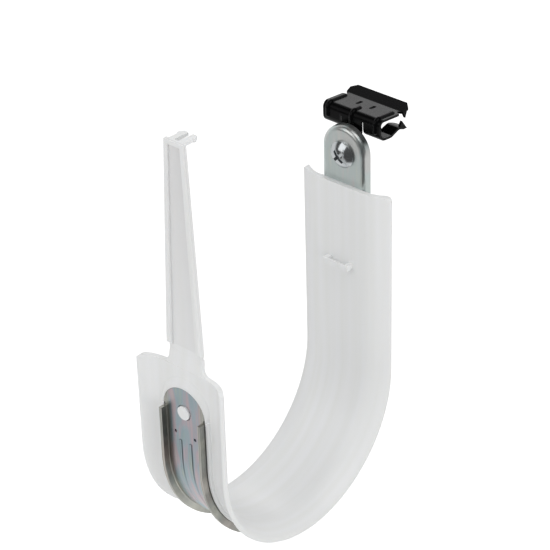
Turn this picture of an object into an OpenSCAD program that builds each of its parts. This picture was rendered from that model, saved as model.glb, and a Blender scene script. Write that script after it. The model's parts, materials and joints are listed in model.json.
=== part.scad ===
// J hook cable support: a steel J strap with a wide moulded saddle and a fold-over
// cable retainer, hung from a beam flange by a sprung clip.
// Frame: X runs along the cables, Y from the open arm to the back, Z up.
// The origin is the centre of the half round that the cables lie in.

/* [Saddle] */
// Inside radius of the cable bed
bed_r = 53.5; // [53.3:0.1:53.7]
// Half the width of the saddle
saddle_half_w = 26.6; // [24:0.2:30]
// Half the width of its flat middle
flat_half_w = 14; // [13.6:0.1:14.4]
// Wall thickness
wall_t = 2.5; // [2.2:0.1:2.8]
// How steeply the side flares start, in degrees
flare_start = 2; // [1:1:4]
// How steeply they end at the rim, in degrees
flare_end = 41; // [36:1:44]
// Height of the back wall above the bed's centre
back_top = 96.6; // [92:0.2:98]
// Height of the front shoulders
shoulder_top = 49.8; // [48:0.2:50.6]
// Radius of the shoulders' outer corners
shoulder_r = 3.5; // [2:0.5:6]

/* [Steel strap] */
// Full width of the strap
strap_w = 25.4; // [25:0.1:25.6]
// Sheet thickness
strap_t = 1.6; // [1.5:0.1:1.7]
// Depth of the channel, over its web and flanges
strap_depth = 5; // [4.6:0.1:5.2]
// Height of the screw hole at the back
screw_z = 111.8; // [111.4:0.1:112]
// Centre of the rounded head at the back
head_z = 113.1; // [112.9:0.1:113.4]
// Centre of the rounded toe and its hole at the front
toe_z = 27; // [25:0.5:28]
// Diameter of the hole in the toe
toe_hole_d = 8; // [7.6:0.1:8.4]

/* [Retainer] */
// Height of the fold line
fold_z = 58.9; // [58.7:0.1:59.1]
// Height of its tip
tip_z = 165.7; // [165.4:0.1:165.8]
// Half the width at the fold line
root_half_w = 10.2; // [9.8:0.1:10.6]
// Half the width at the tip
tip_half_w = 5.7; // [5.5:0.1:6.2]
// Thickness of its plate
plate_t = 1.3; // [1.2:0.1:1.4]
// Height of its edge ribs at the fold line
rib_h_root = 1.9; // [1.5:0.1:2.2]
// Height of its edge ribs at the tip
rib_h_tip = 0.8; // [0.6:0.1:1.2]
// Width of its edge ribs
rib_w = 2.2; // [1.6:0.1:2.4]

/* [Beam clip] */
// Sheet thickness
clip_t = 1.2; // [1.1:0.05:1.25]
// Half the width of the clip
clip_half_w = 17; // [16.5:0.1:17.5]
// Front face, measured from the bed's centre
clip_y = 62.3; // [62.2:0.1:62.6]
// Top of the web at the front bend
web_z = 131.9; // [131.6:0.1:132.4]
// Slope of the web towards the mouth, in degrees
web_slope = 7; // [6:0.5:8]
// Underside of the lower fingers at the front
finger_z = 121.2; // [121:0.1:121.5]

/* [Hidden] */
$fn = 64;

bed_back = bed_r + wall_t;

function arc(c, r, a0, a1, n) =
    [for (i = [0:n]) let (a = a0 + (a1 - a0) * i / n) c + r * [cos(a), sin(a)]];
function reversed(pts) = [for (i = [len(pts) - 1:-1:0]) pts[i]];
function swapped(pts) = [for (p = pts) [p[1], p[0]]];
function both_sides(half) = concat(half, [for (p = reversed(half)) [p[0], -p[1]]]);

// Sections of the J are lists of [distance from the bed's axis, X]. These three carry one
// round the half circle, up the back wall and up the front wall.
module round_bend(section) {
    rotate([0, -90, 0]) rotate([0, 0, 90]) rotate_extrude(angle = 180, $fn = 180) polygon(section);
}
module up_back(section, z0, z1) {
    translate([0, 0, z0]) linear_extrude(z1 - z0) polygon(swapped(section));
}
module up_front(section, z0, z1) {
    mirror([0, 1, 0]) up_back(section, z0, z1);
}
// An outline in X and Z, cut through the walls from y0 to y1
module through_y(outline, y0, y1) {
    translate([0, y1, 0]) rotate([90, 0, 0]) linear_extrude(y1 - y0) polygon(outline);
}
// A profile in Y and Z, run along X from x0 to x1
module along_x(profile, x0, x1) {
    translate([x0, 0, 0]) rotate([90, 0, 90]) linear_extrude(x1 - x0) polygon(profile);
}
// A round bar along Y
module bar_y(d, y0, y1, x = 0, z = 0) {
    translate([x, y1, z]) rotate([90, 0, 0]) cylinder(d = d, h = y1 - y0);
}

// ---- Steel strap: one channel-shaped strip, bent into a J ----

bend_out = 2.2;
bend_in = bend_out - strap_t;
strap_half = strap_w / 2;
strap_face = bed_back + strap_t;
strap_rim = bed_back + strap_depth;
flange_top = toe_z - 0.6;
relief_d = 1.8;
screw_hole_d = 6.8;
dimple_x = 6;
dimple_z = 14.3;
dimple_d = 1.7;
dimple_depth = 0.7;
bead_x = 3.1;
bead_half = 0.9;
bead_h = 0.3;
bead_top = 10.5;

bend_c = [bed_back + bend_out, strap_half - bend_out];
strap_half_section = concat(
    [[bed_back, 0]],
    [for (p = arc([0, 0], bend_out, 0, 90, 6)) bend_c + [-p[0], p[1]]],
    [[strap_rim, strap_half], [strap_rim, strap_half - strap_t]],
    [for (p = arc([0, 0], bend_in, 90, 0, 4)) bend_c + [-p[0], p[1]]],
    [[strap_face, 0]]);
strap_section = both_sides(strap_half_section);
bead_section = [[strap_face - 0.2, bead_x + bead_half], [strap_face, bead_x + bead_half],
    [strap_face + bead_h, bead_x + bead_half / 2], [strap_face + bead_h, bead_x - bead_half / 2],
    [strap_face, bead_x - bead_half], [strap_face - 0.2, bead_x - bead_half]];

module strap_head() {
    translate([0, 0, head_z]) rotate([-90, 0, 0]) rotate([0, 0, 180])
        rotate_extrude(angle = 180, $fn = 96) polygon(swapped(strap_half_section));
}
module strap_toe() {
    intersection() {
        bar_y(strap_w, -strap_face, -bed_back, 0, toe_z);
        translate([-strap_half, -strap_face, flange_top]) cube([strap_w, strap_t, strap_w]);
    }
}
module strap_bead() {
    round_bend(bead_section);
    up_front(bead_section, 0, bead_top);
}
module steel_frame() color("darkgray") difference() {
    union() {
        round_bend(strap_section);
        up_back(strap_section, 0, head_z);
        up_front(strap_section, 0, flange_top);
        strap_head();
        strap_toe();
        strap_bead();
        mirror([1, 0, 0]) strap_bead();
    }
    bar_y(screw_hole_d, bed_back - 1, strap_face + 1, 0, screw_z);
    bar_y(toe_hole_d, -strap_face - 1, -bed_back + 1, 0, toe_z);
    for (side = [-1, 1]) {
        bar_y(relief_d, -strap_face - 1, -bed_back + 1, side * strap_half, toe_z + 0.2);
        bar_y(dimple_d, -strap_face - 1, -strap_face + dimple_depth, side * dimple_x, dimple_z);
    }
}

// ---- Saddle: the white moulding that carries the cables ----

rim_r = wall_t / 2;
flare_half_w = saddle_half_w - rim_r * (1 - sin(flare_end));
flare_r = (flare_half_w - flat_half_w) / (sin(flare_end) - sin(flare_start));
flare_c = [bed_r + flare_r * cos(flare_start), flat_half_w - flare_r * sin(flare_start)];
flare_back_start = acos((flare_c[0] - bed_back) / (flare_r - wall_t));
rim_c = flare_c + (flare_r - rim_r) * [-cos(flare_end), sin(flare_end)];
cradle_x = strap_half + 0.15;
cradle_t = 1.5;
cradle_h = 1.6;
boss_z = 30.3;
boss_r = 14.4;
post_d = 7.1;
post_proud = 0.7;
back_corner_r = 4;
root_fillet_r = 4;
hook_z = 78;
hook_h = 8;
hook_lip = 0.9;
hook_gap = 0.25;
loop_in = 5.25;
loop_out = 7.4;
loop_depth = 4.1;
loop_bar_t = 1;
loop_z = 53;
loop_h = 3;

saddle_section = both_sides(concat(
    [[bed_r, 0]],
    [for (p = arc([0, 0], flare_r, flare_start, flare_end, 7)) flare_c + [-p[0], p[1]]],
    [for (a = [30:30:150]) rim_c + rim_r * [-cos(flare_end + a), sin(flare_end + a)]],
    [for (p = arc([0, 0], flare_r - wall_t, flare_end, flare_back_start, 7)) flare_c + [-p[0], p[1]]],
    [[bed_back, 0]]));
cradle_section = [[bed_back - 0.3, cradle_x], [bed_back + cradle_h, cradle_x + 0.15],
    [bed_back + cradle_h, cradle_x + cradle_t - 0.15], [bed_back - 0.3, cradle_x + cradle_t + 0.3]];
hook_section = [[bed_back - 0.3, cradle_x], [strap_rim + hook_gap, cradle_x],
    [strap_rim + hook_gap, cradle_x - hook_lip], [strap_rim + hook_gap + 0.4, cradle_x - hook_lip],
    [strap_rim + hook_gap + 1.4, cradle_x + 0.4], [strap_rim + hook_gap + 1.4, cradle_x + cradle_t],
    [bed_back - 0.3, cradle_x + cradle_t]];

// Retainer places that the saddle's root strip meets
plate_back = -bed_r + 0.6;
plate_front = plate_back - plate_t;
fold_y = plate_front + 0.45;
fold_cut = 47;

back_outline = concat(
    [[saddle_half_w + 2, -1]],
    arc([saddle_half_w - back_corner_r, back_top - back_corner_r], back_corner_r, 0, 90, 5),
    arc([-saddle_half_w + back_corner_r, back_top - back_corner_r], back_corner_r, 90, 180, 5),
    [[-saddle_half_w - 2, -1]]);
front_half_outline = concat(
    [[saddle_half_w + 2, -1], [saddle_half_w + 2, shoulder_top - shoulder_r]],
    arc([saddle_half_w - shoulder_r, shoulder_top - shoulder_r], shoulder_r, 0, 90, 5),
    arc([root_half_w + root_fillet_r, shoulder_top + root_fillet_r], root_fillet_r, 270, 180, 5),
    [[root_half_w, fold_z]]);
front_outline = concat(front_half_outline,
    [for (p = reversed(front_half_outline)) [-p[0], p[1]]]);
// The wall thins towards the fold and is undercut on the cable side, so it bends there
root_profile = [[-bed_back, shoulder_top - 6], [-bed_r, shoulder_top - 6], [-bed_r, shoulder_top],
    [plate_back, shoulder_top + 6], [plate_back, fold_z - (plate_back - fold_y) * tan(fold_cut)],
    [fold_y, fold_z], [plate_front, fold_z], [plate_front, fold_z - 2], [-bed_back, shoulder_top - 1]];

module cradle() {
    round_bend(cradle_section);
    up_back(cradle_section, 0, back_top - 1);
    up_front(cradle_section, 0, toe_z);
    up_back(hook_section, hook_z, hook_z + hook_h);
}
module toe_boss() {
    difference() {
        hull() {
            bar_y(2 * boss_r, -bed_back - 0.1, -bed_back + 0.3, 0, boss_z);
            bar_y(2 * cradle_x + 0.4, -bed_back - cradle_h, -bed_back, 0, toe_z + 0.2);
        }
        bar_y(2 * cradle_x, -strap_rim - 1, -bed_back, 0, toe_z);
        translate([-cradle_x, -strap_rim, toe_z - 2 * boss_r])
            cube([2 * cradle_x, strap_depth, 2 * boss_r]);
    }
}
module catch_loop() {
    difference() {
        translate([-loop_out, bed_r - loop_depth, loop_z]) cube([2 * loop_out, loop_depth + 0.5, loop_h]);
        translate([-loop_in, bed_r - loop_depth + loop_bar_t, loop_z - 1])
            cube([2 * loop_in, loop_depth - loop_bar_t, loop_h + 2]);
    }
}
module saddle() color("white") {
    round_bend(saddle_section);
    intersection() {
        up_back(saddle_section, 0, back_top);
        through_y(back_outline, bed_r - 1, bed_back + 10);
    }
    intersection() {
        union() {
            up_front(saddle_section, 0, shoulder_top);
            along_x(root_profile, -root_half_w - root_fillet_r, root_half_w + root_fillet_r);
        }
        through_y(front_outline, -bed_back - 10, -bed_r + 1);
    }
    cradle();
    mirror([1, 0, 0]) cradle();
    toe_boss();
    bar_y(post_d, -strap_face - post_proud, -bed_r - 1, 0, toe_z);
    catch_loop();
}

// ---- Retainer: the long tongue that folds over and snaps into the loop ----

rib_bottom = fold_z + 0.7;
tip_wall = 2.1;
prong_in = 1.3;
prong_out = 4.3;
barb_out = 5.05;
barb_y = plate_back + 5.7;
prong_end = plate_back + 8.9;
prong_drop = 0.4;
prong_fillet = 1.6;

// Half the width of the tongue at a height
function tongue_half(z) =
    root_half_w + (tip_half_w - root_half_w) * (z - fold_z) / (tip_z - fold_z);
function tongue_outline(inset, z0, z1) = [[-tongue_half(z0) + inset, z0], [tongue_half(z0) - inset, z0],
    [tongue_half(z1) - inset, z1], [-tongue_half(z1) + inset, z1]];
rib_face_root = plate_front - rib_h_root;
rib_face_tip = plate_front - rib_h_tip;
// Side view of the tongue, with the undercut at the fold and the sloped ends of its ribs
tongue_profile = [[fold_y, fold_z], [plate_back, fold_z + (plate_back - fold_y) * tan(fold_cut)],
    [plate_back, tip_z], [rib_face_tip, tip_z], [rib_face_root, rib_bottom + 1.5],
    [plate_front, rib_bottom], [plate_front, fold_z]];
prong_plan = [[prong_in, plate_back - 1], [prong_out, plate_back - 1], [prong_out, barb_y],
    [barb_out, barb_y], [barb_out, barb_y + 1.1], [prong_out - 0.6, prong_end], [prong_in, prong_end]];
prong_side = [[plate_back - 1, tip_z - tip_wall - 1], [plate_back, tip_z - tip_wall - prong_fillet],
    for (a = [180:-15:90]) [plate_back + prong_fillet, tip_z - tip_wall - prong_fillet]
        + prong_fillet * [cos(a), sin(a)],
    [prong_end, tip_z - tip_wall], [prong_end, tip_z - prong_drop], [plate_back, tip_z],
    [plate_back - 1, tip_z]];

module prong() {
    intersection() {
        translate([0, 0, tip_z - 2 * tip_wall]) linear_extrude(3 * tip_wall) polygon(prong_plan);
        along_x(prong_side, 0, barb_out + 1);
    }
}
module retainer() color("white") {
    difference() {
        intersection() {
            through_y(tongue_outline(0, fold_z, tip_z), rib_face_root - 1, plate_back + 1);
            along_x(tongue_profile, -root_half_w - 1, root_half_w + 1);
        }
        through_y(tongue_outline(rib_w, fold_z - 2, tip_z - tip_wall), rib_face_root - 2, plate_front);
    }
    prong();
    mirror([1, 0, 0]) prong();
}

// ---- Beam clip: one spring-steel stamping that is hammered onto a beam flange ----

web_bend = 1.6;
finger_bend = 3.2;
tab_bend = 0.8;
slit_in = 5.9;
slit_out = 7.1;
slit_top = 128.2;
slit_lap = 0.3;
web_rear_y = 79.2;
web_rear = [web_rear_y, web_z - (web_rear_y - clip_y) * tan(web_slope)];
lip_end = web_rear + [6.4, 1.7];
finger_belly = [71.2, finger_z - 1.4];
finger_knee = [77.6, finger_z + 0.2];
finger_end = finger_knee + [4.8, -2];
finger_rear_in = 9.5;
finger_rear_out = 16.5;
tab_end_z = screw_z - 8.5;
joggle_z = 122.2;
joggle_d = clip_y - strap_face;
slot_x = 4;
slot_y = 73.2;
slot_w = 1.7;
slot_l = 4.6;
rib_x = 14.2;
rib_r = 1.5;
rib_sunk = 0.55;
rib_floor = 1;
rib_front_z = 125.6;
rib_rear_y = 74.5;
rib_mid_z = 124.6;
rib_mid_y = 68;
upper_tooth_x = 15.6;
lower_tooth_x = 15.1;

function unit(v) = v / norm(v);
function left_of(v) = [-v[1], v[0]];
function cross2(u, v) = u[0] * v[1] - u[1] * v[0];
function meet(p, u, q, v) = p + u * cross2(q - p, v) / cross2(u, v);
// A path of straight runs, moved to its left by t
function shifted(path, t) = let (n = len(path) - 1) [for (i = [0:n])
    let (u = unit(path[max(i, 1)] - path[max(i, 1) - 1]),
         v = unit(path[min(i, n - 1) + 1] - path[min(i, n - 1)]))
    i == 0 || i == n ? path[i] + left_of(i == 0 ? v : u) * t
        : meet(path[i] + left_of(u) * t, u, path[i] + left_of(v) * t, v)];
// The same path with each corner rounded, by r_left where it turns left and r_right elsewhere
function rounded(path, r_left, r_right) = let (n = len(path) - 1) [for (i = [0:n])
    if (i == 0 || i == n) path[i]
    else let (u = unit(path[i] - path[i - 1]), v = unit(path[i + 1] - path[i]),
              turn = asin(cross2(u, v)), bend = u * v < 0 ? sign(turn) * 180 - turn : turn,
              side = sign(bend), r = side > 0 ? r_left : r_right,
              start = path[i] - u * r * tan(abs(bend) / 2), c = start + left_of(u) * r * side,
              a0 = atan2(start[1] - c[1], start[0] - c[0]))
        each arc(c, r, a0, a0 + bend, 6)];
// A bent sheet of thickness t on the left of the path
function sheet(path, t, r) = concat(rounded(path, r + t, r), reversed(rounded(shifted(path, t), r, r + t)));

web_corner = [clip_y, web_z];
web_path = [lip_end, web_rear, web_corner, [clip_y, slit_top]];
finger_path = [[clip_y, slit_top + slit_lap], [clip_y, finger_z], finger_belly, finger_knee, finger_end];
tab_path = [[clip_y, slit_top + slit_lap], [clip_y, joggle_z], [strap_face, joggle_z - joggle_d],
    [strap_face, tab_end_z]];
// Plans of the web with its waisted lip and of one lower finger, from the front bend back
upper_half_plan = [[clip_half_w, clip_y - 1], [clip_half_w, web_rear_y - 2.6], [14.9, web_rear_y - 1.8],
    [14.9, web_rear_y - 0.4], [clip_half_w, web_rear_y + 0.5], [clip_half_w + 0.4, web_rear_y + 3.8],
    [14.2, lip_end[0] + 0.5]];
lower_half_plan = [[slit_out, clip_y - 1], [clip_half_w, clip_y - 1], [clip_half_w, 68],
    [finger_rear_out, finger_knee[0]], [finger_rear_out, finger_end[0] - 1.4],
    [finger_rear_out - 1.4, finger_end[0] + 1], [finger_rear_in + 1.2, finger_end[0] + 1],
    [finger_rear_in, finger_end[0] - 1], [finger_rear_in, finger_belly[0]], [slit_out, 67]];
mirrored_plan = concat(upper_half_plan, [for (p = reversed(upper_half_plan)) [-p[0], p[1]]]);
upper_tooth = [web_rear + [0.7, -0.6], web_rear + [4.1, 0.3], web_rear + [2.4, -4]];
lower_tooth = [finger_knee + [0.4, 0.5], finger_knee + [2.3, 3.3], finger_end + [1.1, 0.3],
    finger_end + [-1.2, 0.5]];

// Half the section of a stamped rib: a low round back, flat inside the sheet
rib_half = concat([[0, rib_r - rib_sunk]],
    [for (a = [75:-15:15]) [rib_r * cos(a), rib_r * sin(a) - rib_sunk]],
    [[rib_r, -rib_sunk], [rib_r * 0.9, -rib_floor]]);
rib_section = concat(rib_half, [for (i = [len(rib_half) - 1:-1:1]) [-rib_half[i][0], rib_half[i][1]]]);
bend_r = web_bend + clip_t;
web_bend_c = [clip_y + bend_r, web_z - bend_r / cos(web_slope) - bend_r * tan(web_slope)];

module rib_dome() {
    rotate_extrude($fn = 32) polygon(concat(rib_half, [[0, -rib_floor]]));
}
// The straight runs are a hair slimmer than the bend and the domes that they join
module rib_run(length) {
    linear_extrude(length) polygon([for (p = rib_section) 0.98 * [p[0], -p[1]]]);
}
module rib_over_bend() {
    rotate([0, -90, 0]) rotate([0, 0, -90]) rotate_extrude(angle = 90 + web_slope, $fn = 48)
        polygon([for (p = rib_section) [bend_r + p[1], p[0]]]);
}
module stamped_rib(x, rear_y, front_z) {
    translate([x, clip_y, front_z]) rotate([90, 0, 0]) rib_dome();
    translate([x, clip_y, front_z]) rib_run(web_bend_c[1] - front_z);
    translate([x, web_bend_c[0], web_bend_c[1]]) {
        rib_over_bend();
        rotate([-web_slope, 0, 0]) translate([0, 0, bend_r]) {
            rotate([-90, 0, 0]) rib_run(rear_y - web_bend_c[0]);
            translate([0, rear_y - web_bend_c[0], 0]) rib_dome();
        }
    }
}
module jaw_half() {
    intersection() {
        along_x(sheet(finger_path, clip_t, finger_bend), slit_out, clip_half_w + 1);
        translate([0, 0, slit_top - 20]) linear_extrude(22) polygon(lower_half_plan);
    }
    along_x(upper_tooth, upper_tooth_x, upper_tooth_x + clip_t);
    along_x(lower_tooth, lower_tooth_x, lower_tooth_x + clip_t);
}
module clip_tab() {
    intersection() {
        along_x(sheet(tab_path, clip_t, tab_bend), -slit_in, slit_in);
        union() {
            translate([-slit_in, strap_face - 1, screw_z]) cube([2 * slit_in, 12, 20]);
            bar_y(2 * slit_in, strap_face - 1, strap_face + 3, 0, screw_z - 2);
            translate([-slit_in, strap_face - 1, screw_z - 2]) cube([2 * slit_in, 3, 3]);
        }
    }
}
module beam_clip() color("dimgray") difference() {
    union() {
        intersection() {
            along_x(sheet(web_path, clip_t, web_bend), -clip_half_w - 1, clip_half_w + 1);
            translate([0, 0, slit_top - 1]) linear_extrude(20) polygon(mirrored_plan);
        }
        jaw_half();
        mirror([1, 0, 0]) jaw_half();
        clip_tab();
        for (side = [-1, 1]) stamped_rib(side * rib_x, rib_rear_y, rib_front_z);
        stamped_rib(0, rib_mid_y, rib_mid_z);
    }
    bar_y(screw_hole_d, strap_face - 1, strap_face + 3, 0, screw_z);
    for (side = [-1, 1]) translate([side * slot_x, slot_y, slit_top]) linear_extrude(5) {
        square([slot_w, slot_l - slot_w], center = true);
        for (end = [-1, 1]) translate([0, end * (slot_l - slot_w) / 2]) circle(d = slot_w, $fn = 24);
    }
}

// ---- Screw and nut ----

screw_d = 6.2;
head_d = 13.4;
head_edge = 0.9;
head_h = 3.9;
recess_w = 7;
recess_slot = 1.5;
recess_depth = 2.4;
nut_af = 9.5;
nut_t = 5;
nut_y = strap_face + clip_t;
nut_corner_r = nut_af / 2 / cos(30);
nut_face_r = nut_af / 2 - 0.12;

// The head's crown is part of a sphere that meets the edge
crown_r = (pow(head_d / 2, 2) + pow(head_h - head_edge, 2)) / (2 * (head_h - head_edge));
module screw() color("silver") difference() {
    union() {
        intersection() {
            bar_y(head_d, bed_back - head_h, bed_back, 0, screw_z);
            translate([0, bed_back - head_h + crown_r, screw_z]) sphere(r = crown_r, $fn = 96);
        }
        bar_y(screw_d, bed_back - 0.5, nut_y + nut_t + 1.4, 0, screw_z);
    }
    for (turn = [0, 90]) translate([0, bed_back - head_h - 1, screw_z]) rotate([0, 45 + turn, 0])
        translate([-recess_w / 2, 0, -recess_slot / 2]) cube([recess_w, recess_depth + 1, recess_slot]);
}
module nut() color("silver") difference() {
    translate([0, nut_y + nut_t, screw_z]) rotate([90, 0, 0]) intersection() {
        rotate([0, 0, 30]) cylinder(r = nut_corner_r, h = nut_t, $fn = 6);
        cylinder(r1 = nut_face_r, r2 = nut_face_r + 2 * nut_t, h = nut_t, $fn = 96);
        cylinder(r1 = nut_face_r + 2 * nut_t, r2 = nut_face_r, h = nut_t, $fn = 96);
    }
    bar_y(screw_d, nut_y - 1, nut_y + nut_t + 1, 0, screw_z);
}

steel_frame();
saddle();
retainer();
beam_clip();
screw();
nut();
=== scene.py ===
# A J hook cable support: zinc-plated strap, white nylon saddle with its fold-over
# retainer, and a black beam clip held on by a screw and nut. Metres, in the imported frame.
import json
from math import atan2, cos, pi, radians, sin

import bmesh
import bpy
from mathutils import Matrix, Vector

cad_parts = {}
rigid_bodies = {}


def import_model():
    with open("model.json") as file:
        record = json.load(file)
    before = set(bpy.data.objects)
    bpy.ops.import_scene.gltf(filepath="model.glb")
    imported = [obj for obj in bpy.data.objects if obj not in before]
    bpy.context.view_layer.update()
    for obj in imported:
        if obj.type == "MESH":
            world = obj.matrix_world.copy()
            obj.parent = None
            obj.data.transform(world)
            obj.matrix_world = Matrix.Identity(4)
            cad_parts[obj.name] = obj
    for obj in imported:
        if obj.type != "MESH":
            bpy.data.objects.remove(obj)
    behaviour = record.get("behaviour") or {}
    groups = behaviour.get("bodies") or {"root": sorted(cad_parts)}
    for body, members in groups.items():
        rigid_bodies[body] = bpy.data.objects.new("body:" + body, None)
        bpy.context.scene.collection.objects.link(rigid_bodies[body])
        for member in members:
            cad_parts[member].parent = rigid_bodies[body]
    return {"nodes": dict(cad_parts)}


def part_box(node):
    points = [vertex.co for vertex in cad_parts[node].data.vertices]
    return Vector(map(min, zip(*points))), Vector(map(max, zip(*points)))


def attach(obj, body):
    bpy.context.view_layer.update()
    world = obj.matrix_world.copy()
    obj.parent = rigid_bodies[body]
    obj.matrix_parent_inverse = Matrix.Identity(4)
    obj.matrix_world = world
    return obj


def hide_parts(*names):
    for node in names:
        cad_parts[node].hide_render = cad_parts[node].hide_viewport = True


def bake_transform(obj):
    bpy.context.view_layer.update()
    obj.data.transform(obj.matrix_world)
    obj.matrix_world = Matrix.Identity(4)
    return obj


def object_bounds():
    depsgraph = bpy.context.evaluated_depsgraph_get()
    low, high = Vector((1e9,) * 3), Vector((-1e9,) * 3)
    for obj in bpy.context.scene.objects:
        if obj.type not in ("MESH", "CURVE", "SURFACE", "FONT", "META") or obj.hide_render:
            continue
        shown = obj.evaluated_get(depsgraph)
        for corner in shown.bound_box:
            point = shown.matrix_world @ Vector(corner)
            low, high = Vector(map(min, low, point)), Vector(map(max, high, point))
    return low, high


for leftover in list(bpy.data.objects):
    bpy.data.objects.remove(leftover)
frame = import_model()
solid_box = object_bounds()
MM = 0.001

# ---------------------------------------------------------------- Steel strap
# One strip of steel, pressed into a shallow channel, bent into a J and then zinc
# plated. The head behind the screw and the toe at the front are rounded. The plating's
# clear chromate shows as faint blue, olive and rose stains and as draw lines.
BED_RADIUS = 56.8 * MM
MERGE_GAP = 0.0005 * MM
SAME_PLANE = radians(0.05)
STEEL_CREASE = radians(28)
STEEL_EDGE = 0.2 * MM


def hex_colour(code):
    """An sRGB hex colour as the linear values that shaders take."""
    channels = [int(code[i : i + 2], 16) / 255 for i in (1, 3, 5)]
    linear = [c / 12.92 if c <= 0.04045 else ((c + 0.055) / 1.055) ** 2.4 for c in channels]
    return (*linear, 1.0)


def add_node(tree, kind, links=None, **settings):
    """Adds a node; links maps its inputs to outputs or plain values."""
    node = tree.nodes.new(kind)
    for name, value in settings.items():
        setattr(node, name, value)
    for socket, source in (links or {}).items():
        target = node.inputs[socket]
        if isinstance(source, bpy.types.NodeSocket):
            tree.links.new(source, target)
        else:
            target.default_value = source
    return node


def new_material(name):
    """A node material and its empty tree."""
    material = bpy.data.materials.new(name)
    material.use_nodes = True
    material.node_tree.nodes.clear()
    return material, material.node_tree


def along_j(point):
    """How far along the J a point lies: 0 at the bottom, growing up the back."""
    if point.z >= 0:
        return (1 if point.y > 0 else -1) * (BED_RADIUS * pi / 2 + point.z)
    return BED_RADIUS * atan2(point.y, -point.z)


def lay_along_j(shell):
    """Smooth faces and a UV map in metres that follows the strip: along it and across."""
    unwrap = shell.loops.layers.uv.new("along_j")
    for face in shell.faces:
        face.smooth = True
        for loop in face.loops:
            loop[unwrap].uv = (along_j(loop.vert.co), loop.vert.co.x)


def finished_copy(node, name, body, crease=STEEL_CREASE, edge=STEEL_EDGE):
    """The node's own shape with its facets joined, smooth faces and softened edges."""
    mesh = frame["nodes"][node].data.copy()
    mesh.name = name
    mesh.materials.clear()
    shell = bmesh.new()
    shell.from_mesh(mesh)
    bmesh.ops.remove_doubles(shell, verts=shell.verts, dist=MERGE_GAP)
    bmesh.ops.dissolve_limit(
        shell, angle_limit=SAME_PLANE, verts=shell.verts, edges=shell.edges
    )
    lay_along_j(shell)
    shell.to_mesh(mesh)
    shell.free()
    mesh.set_sharp_from_angle(angle=crease)
    piece = bpy.data.objects.new(name, mesh)
    bpy.context.scene.collection.objects.link(piece)
    soften = piece.modifiers.new("softened edges", "BEVEL")
    soften.width = edge
    soften.segments = 2
    soften.limit_method = "ANGLE"
    soften.angle_limit = crease
    even = piece.modifiers.new("even shading", "WEIGHTED_NORMAL")
    even.keep_sharp = True
    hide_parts(node)
    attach(piece, body)
    return piece


# Repeats to the metre, along and across the strip: draw lines 20 mm long and 0.5 mm
# apart, stains 25 mm by 10 mm, and runs 3 mm wide where the chromate drained
DRAW_LINES = (50, 2000, 1)
STAIN_PATCHES = (40, 100, 1)
STAIN_RUNS = (30, 340, 1)
RUNS_SHARE = 0.45
CHROMATE_TINTS = (
    (0.32, "#C2C4B8"), (0.40, "#AEBBB8"), (0.46, "#9CB4BE"),
    (0.52, "#AEBAC2"), (0.57, "#C6ACB6"), (0.68, "#C8C4C0"),
)
CLEAN_PLATE = "#E6EDE8"
# How far along the J the stains fade: strongest at the toe, faintest at the head
STAINED_AT, CLEAN_AT = -90 * MM, 150 * MM
# Painted shade on the lips low in the J, where they face down beside the nylon: where it starts
# and is full, from the strip's centre line, and how far up the back from the bottom of the J it
# fades out
LIP_START, LIP_FULL = 8.5 * MM, 10.5 * MM
LIP_SHADE_FADES_BY = 80 * MM
LIP_SHADE_STRENGTH = 0.8
LIP_SHADE_DARK, LIP_SHADE_LIGHT = "#98958B", "#D6D3C8"


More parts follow.
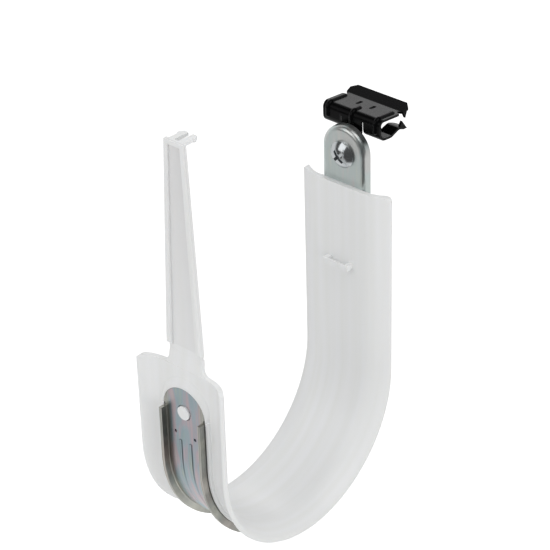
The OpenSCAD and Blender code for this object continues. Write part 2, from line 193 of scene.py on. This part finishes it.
def zinc_plated_steel():
    """Zinc plate under clear chromate: a satin grey metal with stains, draw lines and painted
    shade on its lower lips.
    """
    material, tree = new_material("zinc_plated_steel")
    along = add_node(tree, "ShaderNodeUVMap", uv_map="along_j").outputs["UV"]
    drawn = add_node(
        tree, "ShaderNodeMapping", {"Vector": along, "Scale": DRAW_LINES}
    ).outputs["Vector"]
    lines = add_node(
        tree, "ShaderNodeTexNoise", {"Vector": drawn, "Scale": 1.0, "Detail": 3.0}
    ).outputs["Fac"]
    spread = add_node(
        tree, "ShaderNodeMapping", {"Vector": along, "Scale": STAIN_PATCHES}
    ).outputs["Vector"]
    patches = add_node(
        tree, "ShaderNodeTexNoise",
        {"Vector": spread, "Scale": 1.0, "Detail": 1.0, "Distortion": 0.6},
    ).outputs["Fac"]
    drained = add_node(
        tree, "ShaderNodeMapping", {"Vector": along, "Scale": STAIN_RUNS}
    ).outputs["Vector"]
    runs = add_node(
        tree, "ShaderNodeTexNoise", {"Vector": drained, "Scale": 1.0, "Detail": 2.0}
    ).outputs["Fac"]
    stains = add_node(
        tree, "ShaderNodeMix", {"Factor": RUNS_SHARE, 2: patches, 3: runs}
    ).outputs[0]
    tints = add_node(tree, "ShaderNodeValToRGB", {"Fac": stains})
    ramp = tints.color_ramp
    ramp.interpolation = "B_SPLINE"
    for stop, (position, tint) in zip(ramp.elements, (CHROMATE_TINTS[0], CHROMATE_TINTS[-1])):
        stop.position = position
        stop.color = hex_colour(tint)
    for position, tint in CHROMATE_TINTS[1:-1]:
        ramp.elements.new(position).color = hex_colour(tint)
    # The toe hung lowest in the bath, so its stains are the strongest. Round the bend the
    # lips at both edges get painted shade: a dull warm grey, streaked by the draw lines, fading
    # up the back.
    ways = add_node(tree, "ShaderNodeSeparateXYZ", {"Vector": along}).outputs
    higher = add_node(
        tree, "ShaderNodeMapRange",
        {
            "Value": ways["X"], "From Min": STAINED_AT, "From Max": CLEAN_AT,
            "To Min": 0.1, "To Max": 0.7,
        },
    ).outputs["Result"]
    off_centre = add_node(
        tree, "ShaderNodeMath", {0: ways["Y"]}, operation="ABSOLUTE"
    ).outputs["Value"]
    at_lip = add_node(
        tree, "ShaderNodeMapRange",
        {
            "Value": off_centre, "From Min": LIP_START, "From Max": LIP_FULL,
            "To Max": LIP_SHADE_STRENGTH,
        },
    ).outputs["Result"]
    # Painted shade on the lips: full at the bottom of the J, gone further up the back
    lip_shade_fade = add_node(
        tree, "ShaderNodeMapRange",
        {
            "Value": ways["X"], "From Min": 0.0, "From Max": LIP_SHADE_FADES_BY,
            "To Min": 1.0, "To Max": 0.0,
        },
    ).outputs["Result"]
    painted_lip_shade = add_node(
        tree, "ShaderNodeMath", {0: at_lip, 1: lip_shade_fade}, operation="MULTIPLY"
    ).outputs["Value"]
    plated = add_node(
        tree, "ShaderNodeMix",
        {"Factor": higher, 6: tints.outputs["Color"], 7: hex_colour(CLEAN_PLATE)},
        data_type="RGBA",
    ).outputs[2]
    scored = add_node(
        tree, "ShaderNodeMapRange", {"Value": lines, "From Min": 0.4, "From Max": 0.6}
    ).outputs["Result"]
    # The colour of the lips' painted shade, streaked by the draw lines
    lip_shade_colour = add_node(
        tree, "ShaderNodeMix",
        {"Factor": scored, 6: hex_colour(LIP_SHADE_DARK), 7: hex_colour(LIP_SHADE_LIGHT)},
        data_type="RGBA",
    ).outputs[2]
    grey = add_node(
        tree, "ShaderNodeMix", {"Factor": painted_lip_shade, 6: plated, 7: lip_shade_colour}, data_type="RGBA"
    ).outputs[2]
    rough = add_node(
        tree, "ShaderNodeMapRange",
        {"Value": lines, "From Min": 0.3, "From Max": 0.7, "To Min": 0.3, "To Max": 0.42},
    ).outputs["Result"]
    relief = add_node(
        tree, "ShaderNodeBump", {"Height": lines, "Strength": 0.12, "Distance": 0.05 * MM}
    ).outputs["Normal"]
    shader = add_node(
        tree, "ShaderNodeBsdfPrincipled",
        {"Base Color": grey, "Metallic": 1.0, "Roughness": rough, "Normal": relief},
    )
    add_node(tree, "ShaderNodeOutputMaterial", {"Surface": shader.outputs["BSDF"]})
    return material


strap = finished_copy("steel_frame", "strap", "hook")
strap.data.materials.append(zinc_plated_steel())

# ---------------------------------------------------------------- Saddle and retainer
# One moulding in natural white nylon, pushed onto the strap and held by a post through
# its toe. The retainer bends at a thin line, so it is a piece of its own. Nylon lets a
# little light in, which softens its shade, and the mould leaves a fine satin grain.
NYLON_CREASE = radians(40)
RETAINER_EDGE = 0.4 * MM
TRANSLUCENCY = 0.25
# The last colour is painted shade, for the web recessed between the retainer's ribs
NYLON_DULL, NYLON_CLEAR, NYLON_WEB_SHADE = "#EFF0EF", "#F3F4F5", "#E5E5E5"
# Repeats to the metre: spark-eroded mould grain 0.3 mm across, slow sinks 25 mm across,
# and flow lines 5 mm wide that run the way the nylon filled the mould
MOULD_GRAIN = 3300.0
SINKS = 40.0
FLOW_LINES = (5, 200, 1)
# The outer face of the thin web between the retainer's two ribs, and the heights over
# which the painted shade on it grows
TONGUE_WEB_Y = -54.24 * MM
WEB_FACE_DEPTH = 0.3 * MM
WEB_SHADE_FROM, WEB_SHADE_TO = 60 * MM, 150 * MM


def moulded_nylon(name, translucency, shaded_web_y=None):
    """Natural nylon 66, injection moulded: white, satin, with painted shade on a recessed web.
    """
    material, tree = new_material(name)
    place = add_node(tree, "ShaderNodeTexCoord").outputs["Object"]
    grain = add_node(
        tree, "ShaderNodeTexNoise", {"Vector": place, "Scale": MOULD_GRAIN, "Detail": 2.0}
    ).outputs["Fac"]
    sinks = add_node(
        tree, "ShaderNodeTexNoise", {"Vector": place, "Scale": SINKS, "Detail": 1.0}
    ).outputs["Fac"]
    along = add_node(tree, "ShaderNodeUVMap", uv_map="along_j").outputs["UV"]
    filled = add_node(
        tree, "ShaderNodeMapping", {"Vector": along, "Scale": FLOW_LINES}
    ).outputs["Vector"]
    flow = add_node(
        tree, "ShaderNodeTexNoise", {"Vector": filled, "Scale": 1.0, "Detail": 2.0}
    ).outputs["Fac"]
    streak = add_node(
        tree, "ShaderNodeMapRange", {"Value": flow, "From Min": 0.35, "From Max": 0.65}
    ).outputs["Result"]
    colour = add_node(
        tree, "ShaderNodeMix",
        {"Factor": streak, 6: hex_colour(NYLON_DULL), 7: hex_colour(NYLON_CLEAR)},
        data_type="RGBA",
    ).outputs[2]
    if shaded_web_y is not None:
        # Painted shade on the web recessed between the ribs, greyest near the tip
        ways = add_node(tree, "ShaderNodeSeparateXYZ", {"Vector": place}).outputs
        on_web = add_node(
            tree, "ShaderNodeMath", {0: ways["Y"], 1: shaded_web_y, 2: WEB_FACE_DEPTH},
            operation="COMPARE",
        ).outputs["Value"]
        web_shade_ramp = add_node(
            tree, "ShaderNodeMapRange",
            {"Value": ways["Z"], "From Min": WEB_SHADE_FROM, "From Max": WEB_SHADE_TO, "To Min": 0.4},
        ).outputs["Result"]
        painted_web_shade = add_node(
            tree, "ShaderNodeMath", {0: on_web, 1: web_shade_ramp}, operation="MULTIPLY"
        ).outputs["Value"]
        colour = add_node(
            tree, "ShaderNodeMix",
            {"Factor": painted_web_shade, 6: colour, 7: hex_colour(NYLON_WEB_SHADE)}, data_type="RGBA",
        ).outputs[2]
    rough = add_node(
        tree, "ShaderNodeMapRange",
        {"Value": sinks, "From Min": 0.3, "From Max": 0.7, "To Min": 0.36, "To Max": 0.46},
    ).outputs["Result"]
    relief = add_node(
        tree, "ShaderNodeBump", {"Height": grain, "Strength": 0.06, "Distance": 0.02 * MM}
    ).outputs["Normal"]
    shader = add_node(
        tree, "ShaderNodeBsdfPrincipled",
        {
            "Base Color": colour, "Roughness": rough, "IOR": 1.53, "Normal": relief,
            "Subsurface Weight": translucency, "Subsurface Radius": (1.0, 0.95, 0.9),
            "Subsurface Scale": 1.5 * MM,
        },
    )
    add_node(tree, "ShaderNodeOutputMaterial", {"Surface": shader.outputs["BSDF"]})
    return material


saddle = finished_copy(
    "saddle", "saddle_moulding", "hook", crease=NYLON_CREASE
)
saddle.data.materials.append(moulded_nylon("moulded_nylon", TRANSLUCENCY))
retainer = finished_copy(
    "retainer", "retainer_moulding", "retainer_arm", edge=RETAINER_EDGE
)
retainer.data.materials.append(moulded_nylon("retainer_nylon", TRANSLUCENCY, TONGUE_WEB_Y))

# The fold's web: a skin of the same nylon, 0.4 mm thick, that runs on from the saddle's
# root into the retainer. It is too thin to take light in.
FOLD_Z = 58.9 * MM
SKIN_HALF_W = 9.9 * MM
SKIN_INSIDE = -53.85 * MM
SKIN_TUCK = 0.05 * MM
SKIN_REACH = 1.6 * MM
SKIN_ROWS = 16

web_mesh = bpy.data.meshes.new("fold_web")
skin = bmesh.new()
rows = []
for step in range(SKIN_ROWS + 1):
    share = 2 * step / SKIN_ROWS - 1
    z = FOLD_Z + share * SKIN_REACH
    outside = TONGUE_WEB_Y + SKIN_TUCK * share**2
    rows.append([
        skin.verts.new((x, y, z))
        for x, y in (
            (-SKIN_HALF_W, outside), (SKIN_HALF_W, outside),
            (SKIN_HALF_W, SKIN_INSIDE), (-SKIN_HALF_W, SKIN_INSIDE),
        )
    ])
for lower, upper in zip(rows, rows[1:]):
    for side in range(4):
        after = (side + 1) % 4
        skin.faces.new((lower[side], lower[after], upper[after], upper[side]))
skin.faces.new(rows[0][::-1])
skin.faces.new(rows[-1])
lay_along_j(skin)
bmesh.ops.recalc_face_normals(skin, faces=skin.faces)
skin.to_mesh(web_mesh)
skin.free()
web_mesh.set_sharp_from_angle(angle=NYLON_CREASE)
web_mesh.materials.append(moulded_nylon("thin_nylon", 0))
web = bpy.data.objects.new("fold_web", web_mesh)
bpy.context.scene.collection.objects.link(web)
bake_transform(web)

# ---------------------------------------------------------------- Beam clip
# A spring-steel stamping, hardened and finished in black oxide. It is satin black with
# a speckle 0.6 mm across and clouds 6 mm across in its shade.
SPECKLE = 1800.0
OXIDE_CLOUDS = 160.0
OXIDE_DARK, OXIDE_LIGHT = "#040404", "#080809"


def black_oxide():
    """Black oxide on hardened spring steel: near black, satin, faintly speckled."""
    material, tree = new_material("black_oxide")
    place = add_node(tree, "ShaderNodeTexCoord").outputs["Object"]
    speckle = add_node(
        tree, "ShaderNodeTexNoise", {"Vector": place, "Scale": SPECKLE, "Detail": 3.0}
    ).outputs["Fac"]
    cloud = add_node(
        tree, "ShaderNodeTexNoise", {"Vector": place, "Scale": OXIDE_CLOUDS, "Detail": 2.0}
    ).outputs["Fac"]
    colour = add_node(
        tree, "ShaderNodeMix",
        {"Factor": cloud, 6: hex_colour(OXIDE_DARK), 7: hex_colour(OXIDE_LIGHT)},
        data_type="RGBA",
    ).outputs[2]
    rough = add_node(
        tree, "ShaderNodeMapRange",
        {"Value": speckle, "From Min": 0.3, "From Max": 0.7, "To Min": 0.16, "To Max": 0.3},
    ).outputs["Result"]
    relief = add_node(
        tree, "ShaderNodeBump", {"Height": speckle, "Strength": 0.15, "Distance": 0.03 * MM}
    ).outputs["Normal"]
    shader = add_node(
        tree, "ShaderNodeBsdfPrincipled",
        {"Base Color": colour, "Specular IOR Level": 0.1, "Roughness": rough, "Normal": relief},
    )
    add_node(tree, "ShaderNodeOutputMaterial", {"Surface": shader.outputs["BSDF"]})
    return material


clip = finished_copy("beam_clip", "clip", "hook")
clip.data.materials.append(black_oxide())

# ---------------------------------------------------------------- Screw and nut
# A quarter-inch pan head screw with a cross recess, and its hexagon nut behind the
# clip's tab. Both are bright zinc plate over smooth cold-formed steel, with faint clouds
# 2 mm across in the plating.
PLATING_CLOUDS = 500.0
ZINC_BLUE, ZINC_CLEAR = "#C6CCD0", "#D2D4D4"


def bright_zinc():
    """Bright zinc plate on a smooth formed head: clean, a little blue, glossy."""
    material, tree = new_material("bright_zinc")
    place = add_node(tree, "ShaderNodeTexCoord").outputs["Object"]
    cloud = add_node(
        tree, "ShaderNodeTexNoise", {"Vector": place, "Scale": PLATING_CLOUDS, "Detail": 3.0}
    ).outputs["Fac"]
    colour = add_node(
        tree, "ShaderNodeMix",
        {"Factor": cloud, 6: hex_colour(ZINC_BLUE), 7: hex_colour(ZINC_CLEAR)},
        data_type="RGBA",
    ).outputs[2]
    rough = add_node(
        tree, "ShaderNodeMapRange",
        {"Value": cloud, "From Min": 0.3, "From Max": 0.7, "To Min": 0.12, "To Max": 0.22},
    ).outputs["Result"]
    shader = add_node(
        tree, "ShaderNodeBsdfPrincipled",
        {"Base Color": colour, "Metallic": 1.0, "Roughness": rough},
    )
    add_node(tree, "ShaderNodeOutputMaterial", {"Surface": shader.outputs["BSDF"]})
    return material


zinc = bright_zinc()
screw = finished_copy("screw", "pan_head_screw", "hook")
screw.data.materials.append(zinc)
nut = finished_copy("nut", "hexagon_nut", "hook")
nut.data.materials.append(zinc)

# The rolled thread, 20 to the inch, on the end of the shank that stands out of the nut
THREAD_PITCH = 1.27 * MM
THREAD_ROOT = 3.02 * MM
THREAD_RIDGE = 0.42 * MM
TURN_STEPS = 60
RIDGE_SIDES = 6


def thread_tree(material):
    """A helical ridge round Z: a small section swept along a spiral, in its material."""
    tree = bpy.data.node_groups.new("rolled_thread", "GeometryNodeTree")
    for name in ("Radius", "Length", "Pitch", "Ridge"):
        tree.interface.new_socket(name, in_out="INPUT", socket_type="NodeSocketFloat")
    tree.interface.new_socket("Geometry", in_out="OUTPUT", socket_type="NodeSocketGeometry")
    sizes = add_node(tree, "NodeGroupInput").outputs
    turns = add_node(
        tree, "ShaderNodeMath", {0: sizes["Length"], 1: sizes["Pitch"]}, operation="DIVIDE"
    ).outputs["Value"]
    path = add_node(
        tree, "GeometryNodeCurveSpiral",
        {
            "Resolution": TURN_STEPS, "Rotations": turns, "Start Radius": sizes["Radius"],
            "End Radius": sizes["Radius"], "Height": sizes["Length"],
        },
    ).outputs["Curve"]
    section = add_node(
        tree, "GeometryNodeCurvePrimitiveCircle",
        {"Resolution": RIDGE_SIDES, "Radius": sizes["Ridge"]},
    ).outputs["Curve"]
    ridge = add_node(
        tree, "GeometryNodeCurveToMesh",
        {"Curve": path, "Profile Curve": section, "Fill Caps": True},
    ).outputs["Mesh"]
    whole = add_node(
        tree, "GeometryNodeRealizeInstances", {"Geometry": ridge}
    ).outputs["Geometry"]
    plated = add_node(
        tree, "GeometryNodeSetMaterial", {"Geometry": whole, "Material": material}
    ).outputs["Geometry"]
    add_node(tree, "NodeGroupOutput", {"Geometry": plated})
    return tree


screw_box, nut_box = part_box("screw"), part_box("nut")
thread_start = nut_box[1][1] + THREAD_RIDGE
thread_end = screw_box[1][1] - THREAD_RIDGE
blank = bpy.data.objects.new("thread_blank", bpy.data.meshes.new("thread_blank"))
bpy.context.scene.collection.objects.link(blank)
roll = blank.modifiers.new("rolled thread", "NODES")
roll.node_group = thread_tree(zinc)
thread_sizes = {
    "Radius": THREAD_ROOT, "Length": thread_end - thread_start,
    "Pitch": THREAD_PITCH, "Ridge": THREAD_RIDGE,
}
for socket in roll.node_group.interface.items_tree:
    if socket.name in thread_sizes:
        roll[socket.identifier] = thread_sizes[socket.name]
rolled = bpy.data.meshes.new_from_object(
    blank.evaluated_get(bpy.context.evaluated_depsgraph_get())
)
bpy.data.objects.remove(blank)
screw_centre_z = (nut_box[0][2] + nut_box[1][2]) / 2
laid_along_screw = Matrix.Rotation(-pi / 2, 4, "X")
rolled.transform(Matrix.Translation((0, thread_start, screw_centre_z)) @ laid_along_screw)
thread = bpy.data.objects.new("screw_thread", rolled)
bpy.context.scene.collection.objects.link(thread)
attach(thread, "hook")

# ---------------------------------------------------------------- Backdrop
# A white paper floor well below and behind the hanging hook, in a plain white studio. One
# side of the studio is unlit, which only the metal shows: it gives the plate its contrast.
FLOOR_DROP = 0.4
FLOOR_REACH = 3.0
FLOOR_FRONT = -0.1
PAPER = "#EFEFEF"
PAPER_GLOW = 0.6
PAPER_IN_METAL = 0.18


def white_paper():
    """Matt white paper that the camera sees as white, and metal as a little brighter."""
    material, tree = new_material("white_paper")
    rays = add_node(tree, "ShaderNodeLightPath").outputs
    in_metal = add_node(
        tree, "ShaderNodeMath", {0: rays["Is Glossy Ray"], 1: PAPER_IN_METAL},
        operation="MULTIPLY",
    ).outputs["Value"]
    glow = add_node(
        tree, "ShaderNodeMath",
        {0: rays["Is Camera Ray"], 1: PAPER_GLOW, 2: in_metal}, operation="MULTIPLY_ADD",
    ).outputs["Value"]
    paper = add_node(
        tree, "ShaderNodeBsdfDiffuse", {"Color": hex_colour(PAPER)}
    ).outputs["BSDF"]
    white = add_node(tree, "ShaderNodeEmission", {"Strength": glow}).outputs["Emission"]
    lit = add_node(tree, "ShaderNodeAddShader", {0: paper, 1: white}).outputs["Shader"]
    add_node(tree, "ShaderNodeOutputMaterial", {"Surface": lit})
    return material


level = solid_box[0][2] - FLOOR_DROP
floor_mesh = bpy.data.meshes.new("floor")
floor_mesh.from_pydata(
    [
        (-FLOOR_REACH, FLOOR_FRONT, level), (FLOOR_REACH, FLOOR_FRONT, level),
        (FLOOR_REACH, FLOOR_REACH, level), (-FLOOR_REACH, FLOOR_REACH, level),
    ],
    [], [(0, 1, 2, 3)],
)
floor_mesh.materials.append(white_paper())
floor = bpy.data.objects.new("floor", floor_mesh)
bpy.context.scene.collection.objects.link(floor)

ROOM_LIGHT = 0.54
ROOM_IN_METAL = 0.82
UNLIT_SIDE = Vector((0.45, -0.65, 0.62)).normalized()
UNLIT_IN_METAL = 0.08
# Cosines of the angle from the unlit side, between which the studio falls off
FALL_START, FALL_END = -0.15, 0.12
world = bpy.data.worlds.new("studio")
bpy.context.scene.world = world
world.use_nodes = True
room = world.node_tree
room.nodes.clear()
rays = add_node(room, "ShaderNodeLightPath").outputs
direction = add_node(room, "ShaderNodeTexCoord").outputs["Generated"]
towards_unlit = add_node(
    room, "ShaderNodeVectorMath", {0: direction, 1: UNLIT_SIDE}, operation="DOT_PRODUCT"
).outputs["Value"]
mirrored = add_node(
    room, "ShaderNodeMapRange",
    {
        "Value": towards_unlit, "From Min": FALL_START, "From Max": FALL_END,
        "To Min": ROOM_IN_METAL, "To Max": UNLIT_IN_METAL,
    },
).outputs["Result"]
in_metal = add_node(
    room, "ShaderNodeMix", {0: rays["Is Glossy Ray"], 2: ROOM_LIGHT, 3: mirrored}
).outputs[0]
strength = add_node(
    room, "ShaderNodeMix", {0: rays["Is Camera Ray"], 2: in_metal, 3: 1.0}
).outputs[0]
sky = add_node(
    room, "ShaderNodeBackground", {"Color": (1, 1, 1, 1), "Strength": strength}
).outputs["Background"]
add_node(room, "ShaderNodeOutputWorld", {"Surface": sky})

# ---------------------------------------------------------------- Lamps
# Five soft boxes: the key high at the front left, a small one behind the clip, one at the
# right, one low in front that fills the saddle's face, and a large one overhead. The right
# and low ones don't show in the metal.
AIM = Vector((0, 0, 0.05))


def soft_box(name, place, size, watts, mirrored=True):
    """A square area lamp at a place, facing the hook; the metal may or may not show it."""
    lamp = bpy.data.lights.new(name, "AREA")
    lamp.size = size
    lamp.energy = watts
    holder = bpy.data.objects.new(name, lamp)
    holder.location = place
    holder.rotation_euler = (AIM - Vector(place)).to_track_quat("-Z", "Y").to_euler()
    holder.visible_glossy = mirrored
    bpy.context.scene.collection.objects.link(holder)


soft_box("key", (-0.30, -0.90, 0.72), 0.9, 3.15)
soft_box("back_left", (-0.68, 0.93, 0.58), 0.35, 0.6)
soft_box("right", (1.05, -0.25, 0.1), 0.6, 2.5, mirrored=False)
soft_box("front_low", (0.0, -0.38, -0.36), 0.3, 0.34, mirrored=False)
soft_box("overhead", (0.5, 0.0, 1.2), 0.9, 3.2)

# ---------------------------------------------------------------- Camera
# A long lens from the front right and above, looking down into the half round. The camera
# stands a metre off, turned a little about its view.
YAW, PITCH, ROLL = radians(42.141), radians(32.063), radians(-1.699)
DISTANCE = 1.04068
SIDEWAYS, UPWARDS = 2.578 * MM, 61.613 * MM
LENS, SENSOR = 142.835, 36
NEAR = 0.05

away = Vector((sin(YAW) * cos(PITCH), -cos(YAW) * cos(PITCH), sin(PITCH)))
level_right = Vector((cos(YAW), sin(YAW), 0))
level_up = away.cross(level_right)
right = level_right * cos(ROLL) + level_up * sin(ROLL)
up = level_up * cos(ROLL) - level_right * sin(ROLL)
lens = bpy.data.cameras.new("camera")
lens.sensor_width = SENSOR
lens.lens = LENS
lens.clip_start = NEAR
camera = bpy.data.objects.new("camera", lens)
turn = Matrix((right, up, away)).transposed().to_4x4()
stand = away * DISTANCE + right * SIDEWAYS + up * UPWARDS
camera.matrix_world = Matrix.Translation(stand) @ turn
bpy.context.scene.collection.objects.link(camera)
bpy.context.scene.camera = camera
bpy.context.scene.view_settings.view_transform = "Standard"
